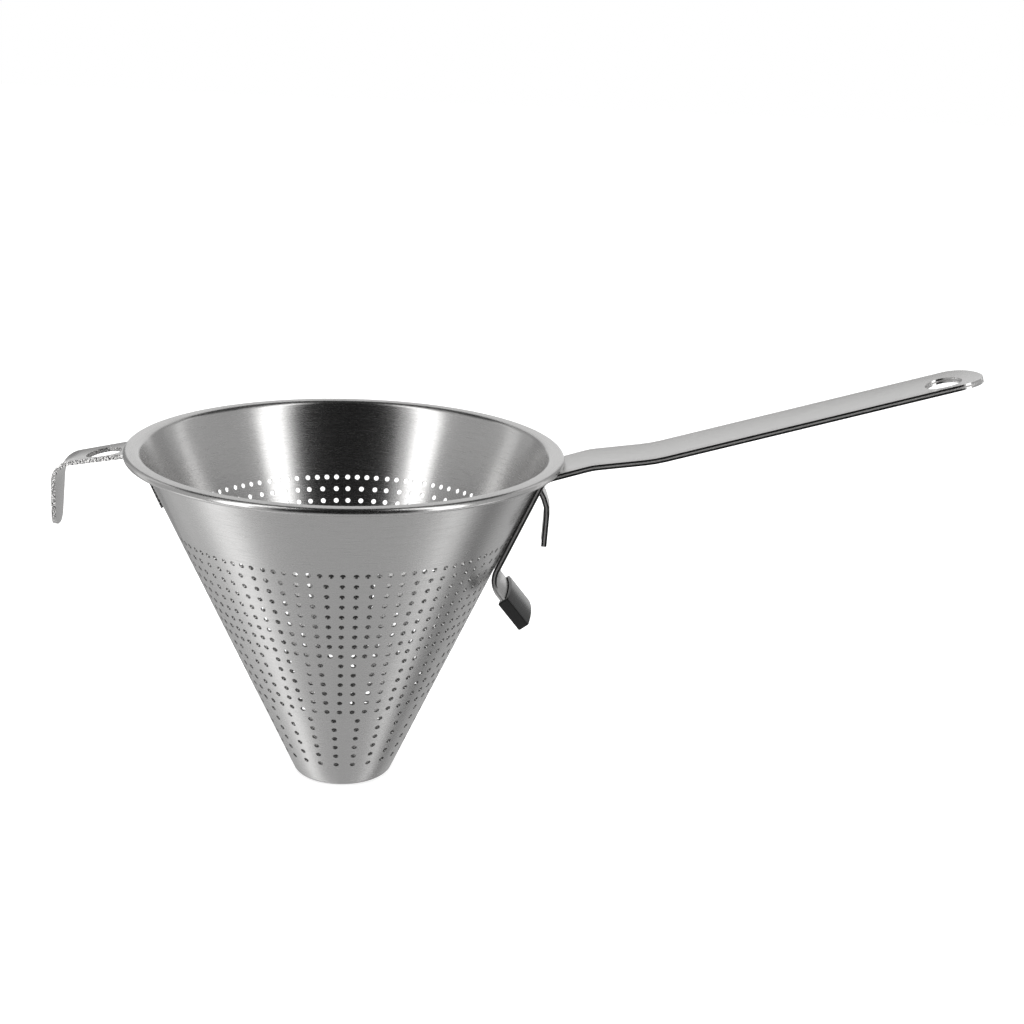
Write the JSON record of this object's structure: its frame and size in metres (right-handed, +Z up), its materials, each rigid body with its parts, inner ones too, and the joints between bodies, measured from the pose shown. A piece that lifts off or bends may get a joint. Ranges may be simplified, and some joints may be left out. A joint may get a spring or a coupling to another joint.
{
  "type": "chinois strainer",
  "caption": "Conical strainer with a perforated bowl, rolled rim, long strap handle with a capped pot rest, and a front hook",
  "frame": {"origin": "centre of the underside of the bowl's closed flat tip", "axes": "+Z up the bowl's axis, +X out along the handle, -X towards the front hook"},
  "size_m": [0.4212, 0.2, 0.2052],
  "materials": {
    "bowl_steel": "satin, brushed round the bowl",
    "strap_steel": "satin",
    "cap_rubber": "matt black"
  },
  "bodies": {
    "root": {"strainer_body": "bowl_steel", "handle": "strap_steel", "rest_cap": "cap_rubber", "front_hook": "strap_steel"}
  },
  "joints": []
}
